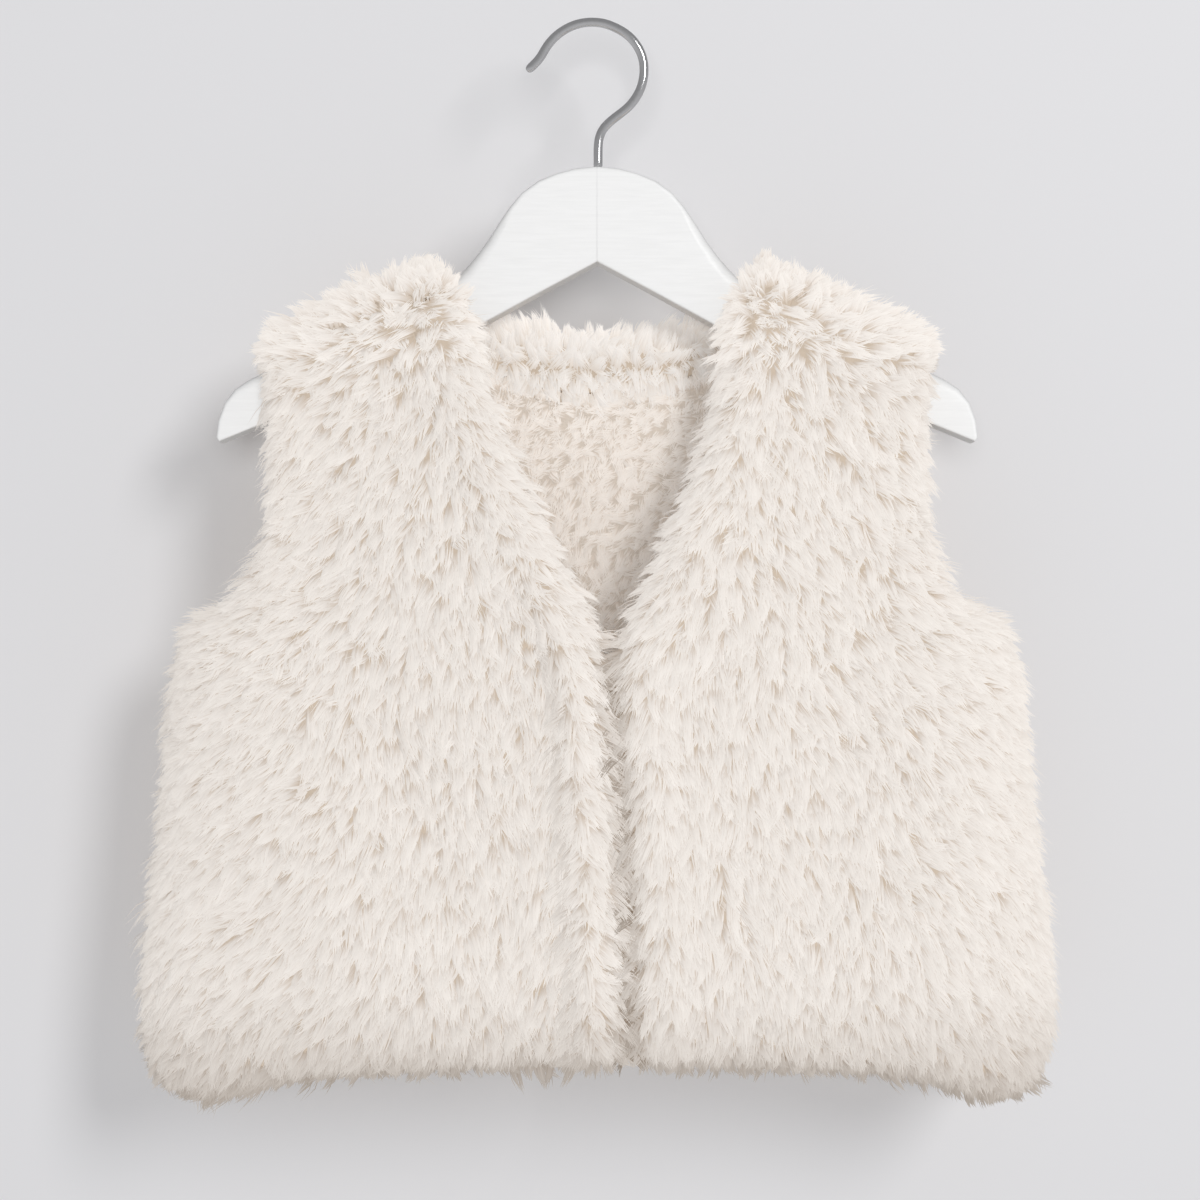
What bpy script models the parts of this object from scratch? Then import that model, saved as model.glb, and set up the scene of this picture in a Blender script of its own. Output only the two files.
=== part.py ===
"""A child's fluffy gilet hung on a painted wooden hanger with a bent wire hook.

Metres, +Z up. The fronts face -Y, and +X is the viewer's right, which is the wearer's left.
The origin is where a rail carries the hook: the inside of the top of its bend.
All sizes and tables here are in millimetres, and each mesh is scaled to metres when it is made.
"""
import math

import bmesh
import bpy
import numpy as np

MM = 0.001
GAP = 0.3  # between two pieces that meet
SHARE_ROUNDING = 1e-6
SHARP_ANGLE = 40.0  # degrees

# Pile and cloth. A wall is the cloth with the fur that stands on it.
FUR_OUT = 12.0  # from the cloth to the outside of the fur
FUR_IN_THIN = 0.8  # lining pressed flat where the hanger carries it
FUR_IN_FULL = 4.0  # lining lower down
THIN_TO = 15.0  # below the shoulder line, where the pressed lining ends
FULL_OVER = 40.0  # the height over which it fills out
HEM_REACH = 9.0  # fur below the hem's cut edge
ARMHOLE_REACH = 8.0
EDGE_REACH = 7.35  # fur past each front's cut edge, half of what parts the two edges
NECK_REACH = 7.0
NECK_TURN_REACH = 4.0  # where the neck's edge turns over the hanger
BAND_WIDTH = 14.0  # the turned edge along fronts and neck
LINING_OUT = 2.0
LINING_IN = 2.2
LINING_SET_IN = 4.0  # middle of the lining, inside the back's cloth
LINING_SIDE_SHARE = 0.93  # the lining stops short of the side seams
LINING_HEM_RISE = 6.0
LINING_TOP_DROP = 3.5  # below the neck band

# Shoulder line, which lies on the hanger's arms.
SHOULDER_X = 115.0
SHOULDER_Z = -122.4
SHOULDER_SLOPE = 0.445
NECK_X = 57.0
NECK_CURVE_X = 62.0  # inside this the arm sweeps up to the hanger's middle
NECK_CURVE_RISE = 5.2
NECK_CURVE_SPAN = 14.0
NECK_CURVE_END = 45.0
BEND_RADIUS = 11.0  # of the cloth over the hanger's top
BED = 1.75  # from the hanger's top up to the cloth

# One row for each section, from the hem up to the shoulder.
SECTION_COLUMNS = ("side_x", "side_z", "wrap", "edge_z", "right_edge_x", "left_edge_x")
SECTIONS = (
    (153.5, -374.0, 1.00, -369.5, 3.5, 18.5),  # hem
    (153.5, -346.0, 1.00, -340.0, 3.5, 18.5),  # skirt
    (148.5, -304.0, 1.00, -303.0, 2.0, 17.0),  # waist
    (144.5, -262.0, 1.00, -267.0, -1.0, 14.0),  # chest
    (141.0, -229.0, 1.00, -238.0, -4.0, 13.0),  # underarm, and the foot of the neckline
    (126.5, -223.0, 0.55, -217.0, -11.0, 21.0),  # foot of the armhole
    (116.0, -211.5, 0.20, -197.0, -21.5, 30.0),
    (112.0, -192.0, 0.00, -172.0, -33.5, 41.0),
    (111.0, -168.0, 0.00, -147.0, -44.0, 49.0),
    (111.5, -146.0, 0.00, -122.0, -49.5, 52.0),  # yoke, under the hanger's arm
    (113.5, -130.5, 0.00, -104.0, -54.0, 54.5),  # front of the hanger's arm
    (115.0, -122.4, 0.00, -95.9, -57.0, 57.0),  # shoulder seam
)
UNDERARM_ROW = 4
YOKE_ROW = 9
BEND_ROW = 10
SHOULDER_ROW = 11

# How far in front of or behind the hanger the cloth hangs, below the shoulder line.
FALL_COLUMNS = ("below", "front", "back")
FALL = (
    (11.0, 11.0, 11.0),
    (30.0, 14.0, 13.5),
    (75.0, 21.5, 15.0),
    (115.0, 27.0, 18.0),
    (160.0, 30.5, 21.0),
    (300.0, 31.0, 22.0),
)
SIDE_POWER = 4.0  # how square the side turns from front to back
ARMHOLE_TURN = 0.25  # how much of its depth a wall loses towards the armhole
ARMHOLE_TURN_SPAN = 35.0  # below the hanger's arm, where that begins
HEM_SAG = 10.0  # the hem dips before each side seam
HEM_SAG_POWER = 8.0

# Soft folds: ridges are positive. A fold runs from its foot up to its head.
FOLD_COLUMNS = ("foot_x", "foot_z", "head_x", "head_z", "half_width", "rise")
FRONT_FOLDS = (
    (-72.0, -384.0, -121.0, -205.0, 25.0, 5.0),
    (-46.0, -350.0, -112.0, -165.0, 23.0, -4.5),
    (66.0, -384.0, 96.0, -180.0, 26.0, -3.0),
    (124.0, -390.0, 112.0, -200.0, 22.0, 3.0),
)
BACK_FOLDS = (
    (-70.0, -380.0, -52.0, -180.0, 30.0, 4.0),
    (74.0, -380.0, 50.0, -190.0, 32.0, 4.0),
    (4.0, -385.0, 0.0, -190.0, 26.0, -3.0),
)

# Back neck.
NECK_DIP_Z = -121.0  # cut edge at the middle of the back
NECK_SWEEP = 9.0  # how far that edge rises before it turns over the hanger
BACK_HEM_Z = -373.0
YOKE_MIDDLE_Z = -137.0
YOKE_NECK_Z = -121.0
NECK_STEPS = (0.25, 0.5, 0.72)
NECK_TURN_SHARE = 0.10  # of the neck's half width, where the edge turns over the hanger
NECK_TURN_STEPS = 4
NECK_BEND_TO = 1.3  # of the neck's half width, where the cloth only bends over the hanger

# Mesh steps.
HALF_ROWS_TO = 4  # sections below this row are halved
BEND_STEPS = 4
BAND_STEPS = 5
FRONT_STEPS = 11
SHOULDER_STEPS = 9
SIDE_CROWDING = 1.8  # columns crowd towards the side seam
RIM_STEPS = 4

# Roll of the right front's edge, the flatter band of the left, and the dip beside them.
BAND_RISE = {"right": 5.0, "left": 2.0, "neck": 1.5}
BAND_DIP = {"right": 3.0, "left": 1.5}
DIP_SPAN = 12.0
ROLL_FROM_Z = -205.0  # the rolls grow from here, under the neck's opening
ROLL_SPAN = 50.0
ROLL_IN_NECK = 0.3  # their share beside the opening

# Hanger.
HANGER_THICK = 14.0
EDGE_STEPS = 3
HUMP = (  # x, height and the rounding of the edges
    (0.0, -52.5, 1.5),
    (8.0, -53.2, 1.5),
    (14.8, -55.1, 1.5),
    (21.6, -57.8, 1.5),
    (27.6, -62.2, 1.5),
    (31.9, -67.2, 1.8),
    (36.1, -73.2, 2.8),
    (40.3, -79.6, 4.0),
    (44.6, -85.3, 5.0),
)
ARM_XS = (48.5, 52.0, 56.0, 61.0, 80.0, 100.0, 118.0)
ARM_EDGE = 5.0  # where the cloth bends over the arm
TIP_CENTRE = (122.5, -152.0)
TIP_REACH = (17.5, 22.3)
TIP = ((70.0, 3.6), (52.0, 2.4), (34.0, 1.5), (16.0, 1.5))  # degrees, and the rounding
UNDERSIDE = (
    (140.0, -152.2),
    (138.9, -153.8),
    (124.7, -148.0),
    (85.0, -130.0),
    (46.0, -112.6),
    (20.0, -98.4),
    (0.0, -87.7),  # the notch
)
UNDERSIDE_EDGE = 0.9

# Hook.
WIRE_RADIUS = 1.78
WIRE_SIDES = 10
WIRE_RINGS = 46
HOOK_COLUMNS = ("x", "z")
HOOK_PATH = (  # middle of the wire
    (0.4, -52.2),  # foot of the stem
    (0.4, -48.2),
    (0.4, -44.6),
    (0.8, -41.1),
    (2.0, -38.1),
    (4.3, -35.5),
    (7.1, -33.2),
    (9.9, -31.1),
    (12.3, -28.9),
    (14.3, -26.3),
    (15.9, -23.4),
    (16.9, -20.3),
    (17.4, -17.0),
    (17.3, -13.6),
    (16.5, -10.2),
    (14.9, -7.0),
    (12.7, -4.2),
    (9.9, -1.9),
    (6.7, -0.2),
    (3.3, 1.2),
    (-0.3, 1.75),
    (-3.4, 1.75),
    (-6.6, 1.25),
    (-9.8, 0.15),
    (-12.8, -1.5),
    (-15.5, -3.6),
    (-17.7, -6.0),
    (-19.3, -8.4),
    (-20.6, -10.7),
    (-22.3, -12.9),
    (-24.7, -15.2),  # flared end
)
TIP_STEPS = (35.0, 65.0)


def finish_of(name, colour, roughness, metallic=0.0):
    """A plain material in the piece's own colour."""
    material = bpy.data.materials.new(name)
    material.use_nodes = True
    shader = material.node_tree.nodes["Principled BSDF"]
    shader.inputs["Base Color"].default_value = (*colour, 1.0)
    shader.inputs["Roughness"].default_value = roughness
    shader.inputs["Metallic"].default_value = metallic
    return material


def node_from(name, mesh, material):
    """A named object from a mesh in millimetres, with its faces turned outwards."""
    bmesh.ops.scale(mesh, vec=(MM, MM, MM), verts=mesh.verts)
    bmesh.ops.recalc_face_normals(mesh, faces=mesh.faces)
    data = bpy.data.meshes.new(name)
    mesh.to_mesh(data)
    mesh.free()
    data.materials.append(material)
    data.shade_smooth()
    data.set_sharp_from_angle(angle=math.radians(SHARP_ANGLE))
    piece = bpy.data.objects.new(name, data)
    bpy.context.scene.collection.objects.link(piece)
    return piece


def column_of(table, columns, name):
    return np.array([row[columns.index(name)] for row in table])


def smooth_between(values, at):
    """A soft curve through values, one for each whole number of at."""
    padded = np.concatenate([[2 * values[0] - values[1]], values, [2 * values[-1] - values[-2]]])
    step = np.clip(np.floor(at).astype(int), 0, len(values) - 2)
    f = at - step
    before, here, there, after = (padded[step + k] for k in range(4))
    slope_here = (there - before) / 2
    slope_there = (after - here) / 2
    rise = there - here
    return here + f * (slope_here + f * (3 * rise - 2 * slope_here - slope_there
                                         + f * (slope_here + slope_there - 2 * rise)))


def smooth_step(value):
    share = np.clip(value, 0.0, 1.0)
    return share * share * (3 - 2 * share)


def arm_top(x):
    """Height of the hanger's arm, which the shoulders lie on."""
    away = np.abs(x)
    line = SHOULDER_Z - BED - SHOULDER_SLOPE * (away - SHOULDER_X)
    inside = np.maximum(0.0, NECK_CURVE_X - np.maximum(away, NECK_CURVE_END))
    return line + NECK_CURVE_RISE * (inside / NECK_CURVE_SPAN) ** 2


def below_shoulder(x, z):
    return np.maximum(arm_top(x) + BED - z, 0.0)


def fall_depth(below, side):
    """Distance from the hanger's middle plane: a bend over its top, then the hanging cloth."""
    bend = np.sqrt(np.maximum(2 * BEND_RADIUS * below - below**2, 0.0))
    heights = column_of(FALL, FALL_COLUMNS, "below")
    depths = column_of(FALL, FALL_COLUMNS, side)
    at = np.interp(below, heights, np.arange(len(heights)))
    return np.where(below < BEND_RADIUS, bend, smooth_between(depths, at))


def fold_rise(x, z, folds):
    """Height that the soft folds add to the cloth at a place."""
    total = np.zeros_like(x)
    for row in folds:
        fold = dict(zip(FOLD_COLUMNS, row))
        share = np.clip((z - fold["foot_z"]) / (fold["head_z"] - fold["foot_z"]), 0.0, 1.0)
        middle = fold["foot_x"] + (fold["head_x"] - fold["foot_x"]) * share
        across = (x - middle) / fold["half_width"]
        total += fold["rise"] * np.exp(-across**2) * np.sqrt(np.sin(math.pi * share))
    return total


def side_shape(share, wrap, below):
    """Depth across a wall, from its middle to the side: wrapped round to the seam, or open."""
    turned = np.maximum(1 - share**SIDE_POWER, 0.0) ** (1 / SIDE_POWER)
    clear = smooth_step((below - BEND_RADIUS) / ARMHOLE_TURN_SPAN)
    opened = 1 - ARMHOLE_TURN * clear * share**3
    return wrap * turned + (1 - wrap) * opened


def section_rows():
    """Places of the mesh rows between the sections, closer together over the hanger."""
    halved = np.arange(0, HALF_ROWS_TO, 0.5)
    whole = np.arange(HALF_ROWS_TO, SHOULDER_ROW)
    bend = BEND_ROW + np.sin(np.arange(1, BEND_STEPS + 1) * math.pi / 2 / BEND_STEPS)
    return np.concatenate([halved, whole, bend])


def section_at(name, rows):
    return smooth_between(column_of(SECTIONS, SECTION_COLUMNS, name), rows)


def wall_normals(points, outside_y, square_edge=False):
    """Directions out of the cloth, level with the seams and square where two cut edges meet."""
    along_row = np.gradient(points, axis=1)
    along_column = np.gradient(points, axis=0)
    normals = np.cross(along_row, along_column)
    if normals[len(normals) // 2, :, 1].sum() * outside_y < 0:
        normals = -normals
    if square_edge:
        normals[:UNDERARM_MESH_ROW + 1, 0, 0] = 0.0
    on_seam = np.abs(points[:, :, 1]) < GAP
    normals[on_seam, 1] = 0.0
    return normals / np.linalg.norm(normals, axis=2, keepdims=True)


def bend_normals(points):
    """Directions out of the back's cloth where it bends over the hanger, from the bend itself."""
    x, z = points[:, :, 0], points[:, :, 2]
    below = below_shoulder(x, z)
    slope = (arm_top(x + GAP) - arm_top(x - GAP)) / (2 * GAP)
    falling = (fall_depth(below + GAP, "back") - fall_depth(below, "back")) / GAP
    over_top = below < BEND_RADIUS
    outwards = np.where(over_top, fall_depth(below, "back") / BEND_RADIUS, 1.0)
    upwards = np.where(over_top, 1 - below / BEND_RADIUS, falling)
    normals = np.stack([-slope * upwards, outwards, upwards], axis=2)
    normals[points[:, :, 1] < GAP, 1] = 0.0
    return normals / np.linalg.norm(normals, axis=2, keepdims=True)


def inner_pile(points):
    below = below_shoulder(points[:, :, 0], points[:, :, 2])
    return FUR_IN_THIN + (FUR_IN_FULL - FUR_IN_THIN) * smooth_step((below - THIN_TO) / FULL_OVER)


def boundary_loop(cells):
    """Grid points round a patch of cells, in order, with the patch on the left."""
    steps = set()
    for row, column in zip(*np.nonzero(cells)):
        ring = ((row, column), (row, column + 1), (row + 1, column + 1), (row + 1, column))
        steps.update(zip(ring, ring[1:] + ring[:1]))
    following = {start: end for start, end in steps if (end, start) not in steps}
    first = min(following)
    loop = [first]
    while following[loop[-1]] != first:
        loop.append(following[loop[-1]])
    return loop


def free_direction(loop, index, points, reach, normal):
    """Direction on the cloth that leaves a patch at one point of its loop, square to its free edge."""
    before, here, after = (loop[(index + step) % len(loop)] for step in (-1, 0, 1))
    row, column = here
    if row == len(reach) - 1 and 0 < column < reach.shape[1] - 1:
        beside = (row, column + 1), (row, column - 1)
        if min(reach[beside[0]], reach[beside[1]]) > 0:
            before, after = beside
    arriving = points[here] - points[before]
    leaving = points[after] - points[here]
    arriving = arriving / np.linalg.norm(arriving) * (reach[before] > 0 or reach[after] == 0)
    leaving = leaving / np.linalg.norm(leaving) * (reach[after] > 0 or reach[before] == 0)
    return np.cross(arriving + leaving, normal)


def wall(name, points, normals, outer, inner, cells, reach, material):
    """A closed wall of cloth and fur on a patch of a grid, rounded off along its free edges."""
    mesh = bmesh.new()
    turned = np.cross(points[0, 1] - points[0, 0], points[1, 0] - points[0, 0]) @ normals[0, 0] < 0
    used = np.zeros(points.shape[:2], bool)
    for row, column in zip(*np.nonzero(cells)):
        used[row:row + 2, column:column + 2] = True
    front, back = {}, {}
    for place in zip(*np.nonzero(used)):
        front[place] = mesh.verts.new(points[place] + normals[place] * outer[place])
        back[place] = mesh.verts.new(points[place] - normals[place] * inner[place])
    for row, column in zip(*np.nonzero(cells)):
        ring = ((row, column), (row, column + 1), (row + 1, column + 1), (row + 1, column))
        mesh.faces.new([front[place] for place in ring])
        mesh.faces.new([back[place] for place in reversed(ring)])
    loop = boundary_loop(cells)
    strips = []
    for index, place in enumerate(loop):
        away = free_direction(loop, index, points, reach, normals[place]) * (-1 if turned else 1)
        if abs(points[place][1]) < GAP or away[1] * points[place][1] < 0:
            away[1] = 0.0
        away /= max(np.linalg.norm(away), SHARE_ROUNDING)
        strip = [front[place]]
        for step in range(1, RIM_STEPS):
            turn = math.pi / 2 - math.pi * step / RIM_STEPS
            pile = outer[place] if turn > 0 else inner[place]
            rim = away * reach[place] * math.cos(turn) + normals[place] * pile * math.sin(turn)
            strip.append(mesh.verts.new(points[place] + rim))
        strips.append(strip + [back[place]])
    for here, there in zip(strips, strips[1:] + strips[:1]):
        for step in range(RIM_STEPS):
            mesh.faces.new((here[step], here[step + 1], there[step + 1], there[step]))
    return node_from(name, mesh, material)


def front_grid(side):
    """Cloth of one front, band and panel together, from the cut edge to the side seam."""
    sign = -1.0 if side == "right" else 1.0
    rows = section_rows()
    edge_x = section_at(f"{side}_edge_x", rows)
    edge_z = section_at("edge_z", rows)
    side_x = section_at("side_x", rows) * sign
    side_z = section_at("side_z", rows)
    band = np.linspace(0.0, BAND_WIDTH, BAND_STEPS + 1) * sign
    panel = 1 - (1 - np.arange(1, FRONT_STEPS + 1) / FRONT_STEPS) ** SIDE_CROWDING
    in_band = edge_x[:, None] + band
    in_panel = in_band[:, -1:] + (side_x[:, None] - in_band[:, -1:]) * panel
    x = np.concatenate([in_band, in_panel], axis=1)
    share = (x - edge_x[:, None]) / (side_x - edge_x)[:, None]
    sag = HEM_SAG * np.sin(math.pi * share**HEM_SAG_POWER)
    fade = np.clip(1 - rows / 2, 0.0, 1.0) ** 2
    z = edge_z[:, None] + (side_z - edge_z)[:, None] * share - sag * fade[:, None]
    wrap = np.clip(section_at("wrap", rows), 0.0, 1.0)[:, None]
    across = np.clip(np.abs(x) / np.abs(side_x)[:, None], 0.0, 1.0)
    below = below_shoulder(x, z)
    below[-1] = 0.0
    shape = side_shape(across, wrap, below)
    depth = (fall_depth(below, "front") + fold_rise(x, z, FRONT_FOLDS)) * shape
    return np.stack([x, -GAP / 2 - depth, z], axis=2)


def back_grid():
    """Cloth of the whole back, from side to side, with the neck's cut edge in its top row."""
    rows = section_rows()
    neck_share = NECK_X / SHOULDER_X
    turn = 1 - NECK_TURN_SHARE * (1 - np.sin(np.arange(NECK_TURN_STEPS + 1) * math.pi / 2
                                            / NECK_TURN_STEPS))
    neck = np.concatenate([NECK_STEPS, turn]) * neck_share
    shoulder = 1 - (1 - np.arange(1, SHOULDER_STEPS + 1) / SHOULDER_STEPS) ** SIDE_CROWDING
    half = np.concatenate([neck, neck_share + (1 - neck_share) * shoulder])
    across = np.concatenate([-half[::-1], [0.0], half])
    away = np.abs(across)
    side_x = section_at("side_x", rows)
    side_z = section_at("side_z", rows)
    x = side_x[:, None] * across
    inside = np.clip(away / neck_share, 0.0, 1.0)
    outside = np.clip((away - neck_share) / (1 - neck_share), 0.0, 1.0)
    hem = BACK_HEM_Z + (side_z[0] - BACK_HEM_Z) * away
    hem -= HEM_SAG * np.sin(math.pi * away**HEM_SAG_POWER)
    yoke_side = SECTIONS[YOKE_ROW][SECTION_COLUMNS.index("side_z")]
    yoke = YOKE_MIDDLE_Z + (YOKE_NECK_Z - YOKE_MIDDLE_Z) * inside**2
    yoke += (yoke_side - YOKE_NECK_Z) * outside
    neck_edge = NECK_DIP_Z + NECK_SWEEP * inside**2
    turned = np.clip((inside - 1 + NECK_TURN_SHARE) / NECK_TURN_SHARE, 0.0, 1.0)
    bend_top = arm_top(across * SHOULDER_X) + BED
    top = neck_edge + (bend_top - neck_edge) * turned
    low = np.clip((side_z - side_z[0]) / (yoke_side - side_z[0]), 0.0, 1.0)[:, None]
    high = np.clip((side_z - yoke_side) / (SHOULDER_Z - yoke_side), 0.0, 1.0)[:, None]
    z = hem + (yoke - hem) * low + (top - yoke) * high
    wrap = np.clip(section_at("wrap", rows), 0.0, 1.0)[:, None]
    below = below_shoulder(x, z)
    below[-1, away >= neck_share] = 0.0
    shape = side_shape(away, wrap, below)
    depth = (fall_depth(below, "back") + fold_rise(x, z, BACK_FOLDS)) * shape
    return np.stack([x, GAP / 2 + depth, z], axis=2), away, neck_share


def parted(points, cut, towards):
    """The grid with the cut's points moved half a gap along a direction on the cloth."""
    moved = points.copy()
    step = towards[cut] / np.linalg.norm(towards[cut], axis=1, keepdims=True)
    moved[cut] += step * GAP / 2
    return moved


def make_front(side, fur):
    points = front_grid(side)
    normals = wall_normals(points, -1.0, square_edge=True)
    rows, columns = points.shape[:2]
    share = np.clip(np.arange(columns) / BAND_STEPS, 0.0, 1.0)
    past = np.abs(points[:, :, 0] - points[:, BAND_STEPS:BAND_STEPS + 1, 0]) / DIP_SPAN
    dip = BAND_DIP[side] * np.where(np.arange(columns) < BAND_STEPS, share**4,
                                    1 - smooth_step(past))
    rolled = smooth_step((ROLL_FROM_Z - points[:, :1, 2]) / ROLL_SPAN)
    rolled = ROLL_IN_NECK + (1 - ROLL_IN_NECK) * rolled
    outer = FUR_OUT + rolled * (BAND_RISE[side] * np.sin(math.pi * share) - dip)
    inner = inner_pile(points)
    reach = np.zeros((rows, columns))
    reach[UNDERARM_MESH_ROW:, -1] = ARMHOLE_REACH
    reach[:, 0] = EDGE_REACH
    reach[BEND_MESH_ROW + 1:, 0] = NECK_TURN_REACH
    reach[0, :] = HEM_REACH
    across = np.gradient(points, axis=1)
    seam = np.zeros((rows, columns), bool)
    seam[:, BAND_STEPS] = True
    cells = np.ones((rows - 1, columns - 1), bool)
    cells[:, :BAND_STEPS] = False
    wall(f"front_{side}", parted(points, seam, across), normals, outer, inner, cells, reach, fur)
    wall(f"front_{side}_band", parted(points, seam, -across), normals, outer, inner, ~cells,
         reach, fur)


def make_back(fur, lining):
    points, away, neck_share = back_grid()
    normals = wall_normals(points, 1.0)
    near_neck = (away > neck_share * NECK_STEPS[-1]) & (away <= neck_share * NECK_BEND_TO)
    normals[YOKE_MESH_ROW:, near_neck] = bend_normals(points)[YOKE_MESH_ROW:, near_neck]
    rows, columns = points.shape[:2]
    band_end = neck_share * (1 - NECK_TURN_SHARE)
    in_neck = away <= band_end + SHARE_ROUNDING
    neck_columns = np.flatnonzero(in_neck)
    first, last = neck_columns[0], neck_columns[-1]
    cells = np.ones((rows - 1, columns - 1), bool)
    cells[YOKE_MESH_ROW:, first:last] = False
    reach = np.zeros((rows, columns))
    reach[UNDERARM_MESH_ROW:, [0, -1]] = ARMHOLE_REACH
    reach[0, :] = HEM_REACH
    reach[-1, away <= neck_share + SHARE_ROUNDING] = NECK_TURN_REACH
    reach[-1, first:last + 1] = NECK_REACH
    up = np.gradient(points, axis=0)
    over = np.zeros_like(points)
    over[:, :, 0] = 1.0
    in_band = np.zeros((rows, columns))
    in_band[YOKE_MESH_ROW:, first:last + 1] = np.linspace(0.0, 1.0, rows - YOKE_MESH_ROW)[:, None]
    outer = FUR_OUT + BAND_RISE["neck"] * np.sin(math.pi * in_band)
    inner = inner_pile(points)
    level = np.zeros((rows, columns), bool)
    level[YOKE_MESH_ROW, first:last + 1] = True
    starts = np.zeros((rows, columns), bool)
    starts[YOKE_MESH_ROW:, first] = True
    ends = np.zeros((rows, columns), bool)
    ends[YOKE_MESH_ROW:, last] = True
    band = parted(parted(parted(points, level, up), starts, over), ends, -over)
    body = parted(parted(parted(points, level, -up), starts, -over), ends, over)
    plain = np.full((rows, columns), FUR_IN_THIN)
    wall("back_neck_band", band, normals, outer, inner, ~cells, reach, fur)
    wall("back", body, normals, outer, plain, cells, reach, fur)
    kept = away <= LINING_SIDE_SHARE
    sheet = (points - normals * LINING_SET_IN)[:YOKE_MESH_ROW + 1, kept]
    sheet[0, :, 2] += LINING_HEM_RISE
    sheet[-1, :, 2] -= LINING_TOP_DROP
    flat = normals[:YOKE_MESH_ROW + 1, kept]
    size = sheet.shape[:2]
    wall("back_lining", sheet, flat, np.full(size, LINING_OUT), np.full(size, LINING_IN),
         np.ones((size[0] - 1, size[1] - 1), bool), np.full(size, LINING_OUT), lining)


def arm_outline():
    """Outline of the wearer's left arm of the hanger, from the joint's top round to its foot.

    Each point has its x, its height and how far the edges are rounded there.
    """
    top = [(x, float(arm_top(np.array(x))), ARM_EDGE) for x in ARM_XS]
    tip = [(TIP_CENTRE[0] + TIP_REACH[0] * math.cos(math.radians(angle)),
            TIP_CENTRE[1] + TIP_REACH[1] * math.sin(math.radians(angle)), edge)
           for angle, edge in TIP]
    underside = [(x, z, UNDERSIDE_EDGE) for x, z in UNDERSIDE]
    outline = np.array(list(HUMP) + top + tip + underside)
    outline[:, 0] = np.maximum(outline[:, 0], GAP / 2)
    return outline


def ways_in(outline):
    """At each point, the way in from its two edges. At the joint it keeps to the joint's face."""
    ahead = np.diff(outline, axis=0, append=outline[:1])
    ahead /= np.linalg.norm(ahead, axis=1, keepdims=True)
    leaving = np.stack([ahead[:, 1], -ahead[:, 0]], axis=1)
    arriving = np.roll(leaving, 1, axis=0)
    inwards = (leaving + arriving) / (1 + np.sum(leaving * arriving, axis=1, keepdims=True))
    inwards[0] = (0.0, 1 / leaving[0, 1])
    inwards[-1] = (0.0, 1 / arriving[-1, 1])
    return inwards


def make_arm(side, paint):
    """One half of the hanger: its outline from front to back, drawn in where the edges are round."""
    sign = -1.0 if side == "right" else 1.0
    outline = arm_outline()
    places, edge = outline[:, :2], outline[:, 2:]
    inwards = ways_in(places) * edge
    turns = np.linspace(0.0, math.pi / 2, EDGE_STEPS + 1)
    mesh = bmesh.new()
    rings = []
    for face, order in ((-1.0, turns), (1.0, turns[::-1])):
        for turn in order:
            drawn_in = places + inwards * (1 - math.sin(turn))
            y = face * (HANGER_THICK / 2 - edge[:, 0] * (1 - math.cos(turn)))
            rings.append([mesh.verts.new((x * sign, depth, z))
                          for (x, z), depth in zip(drawn_in, y)])
    for near, far in zip(rings, rings[1:]):
        for here in range(len(near)):
            after = (here + 1) % len(near)
            mesh.faces.new((near[here], near[after], far[after], far[here]))
    mesh.faces.new(rings[0])
    mesh.faces.new(rings[-1])
    bmesh.ops.triangulate(mesh, faces=mesh.faces)
    node_from(f"hanger_arm_{side}", mesh, paint)


def hook_path():
    """Middle of the wire from the stem's foot, round the bend, to the flared end."""
    at = np.linspace(0.0, len(HOOK_PATH) - 1, WIRE_RINGS)
    return np.stack([smooth_between(column_of(HOOK_PATH, HOOK_COLUMNS, name), at)
                     for name in HOOK_COLUMNS], axis=1)


def make_hook(chrome):
    """The wire: one ring of points at each place of its path, and a rounded end."""
    path = hook_path()
    along = np.gradient(path, axis=0)
    along /= np.linalg.norm(along, axis=1, keepdims=True)
    rings = [(middle, ahead, WIRE_RADIUS) for middle, ahead in zip(path, along)]
    for angle in TIP_STEPS:
        lift = WIRE_RADIUS * math.sin(math.radians(angle))
        rings.append((path[-1] + along[-1] * lift, along[-1],
                      WIRE_RADIUS * math.cos(math.radians(angle))))
    mesh = bmesh.new()
    loops = []
    for (x, z), (ahead_x, ahead_z), radius in rings:
        loop = []
        for side in range(WIRE_SIDES):
            turn = 2 * math.pi * side / WIRE_SIDES
            out = radius * math.cos(turn)
            loop.append(mesh.verts.new((x - ahead_z * out, radius * math.sin(turn),
                                        z + ahead_x * out)))
        loops.append(loop)
    for low, high in zip(loops, loops[1:]):
        for side in range(WIRE_SIDES):
            after = (side + 1) % WIRE_SIDES
            mesh.faces.new((low[side], low[after], high[after], high[side]))
    mesh.faces.new(loops[0])
    mesh.faces.new(loops[-1])
    node_from("hanger_hook", mesh, chrome)


MESH_ROWS = section_rows()
UNDERARM_MESH_ROW = int(np.searchsorted(MESH_ROWS, UNDERARM_ROW))
YOKE_MESH_ROW = int(np.searchsorted(MESH_ROWS, YOKE_ROW))
BEND_MESH_ROW = int(np.searchsorted(MESH_ROWS, BEND_ROW))


def main():
    for old in list(bpy.data.objects):
        bpy.data.objects.remove(old)
    fur = finish_of("ivory_fur", (0.85, 0.80, 0.73), 0.9)
    lining = finish_of("beige_pile", (0.76, 0.68, 0.58), 0.95)
    paint = finish_of("white_paint", (0.88, 0.88, 0.87), 0.4)
    chrome = finish_of("bright_wire", (0.72, 0.72, 0.73), 0.18, 1.0)
    for side in ("right", "left"):
        make_front(side, fur)
        make_arm(side, paint)
    make_back(fur, lining)
    make_hook(chrome)


main()
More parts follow.
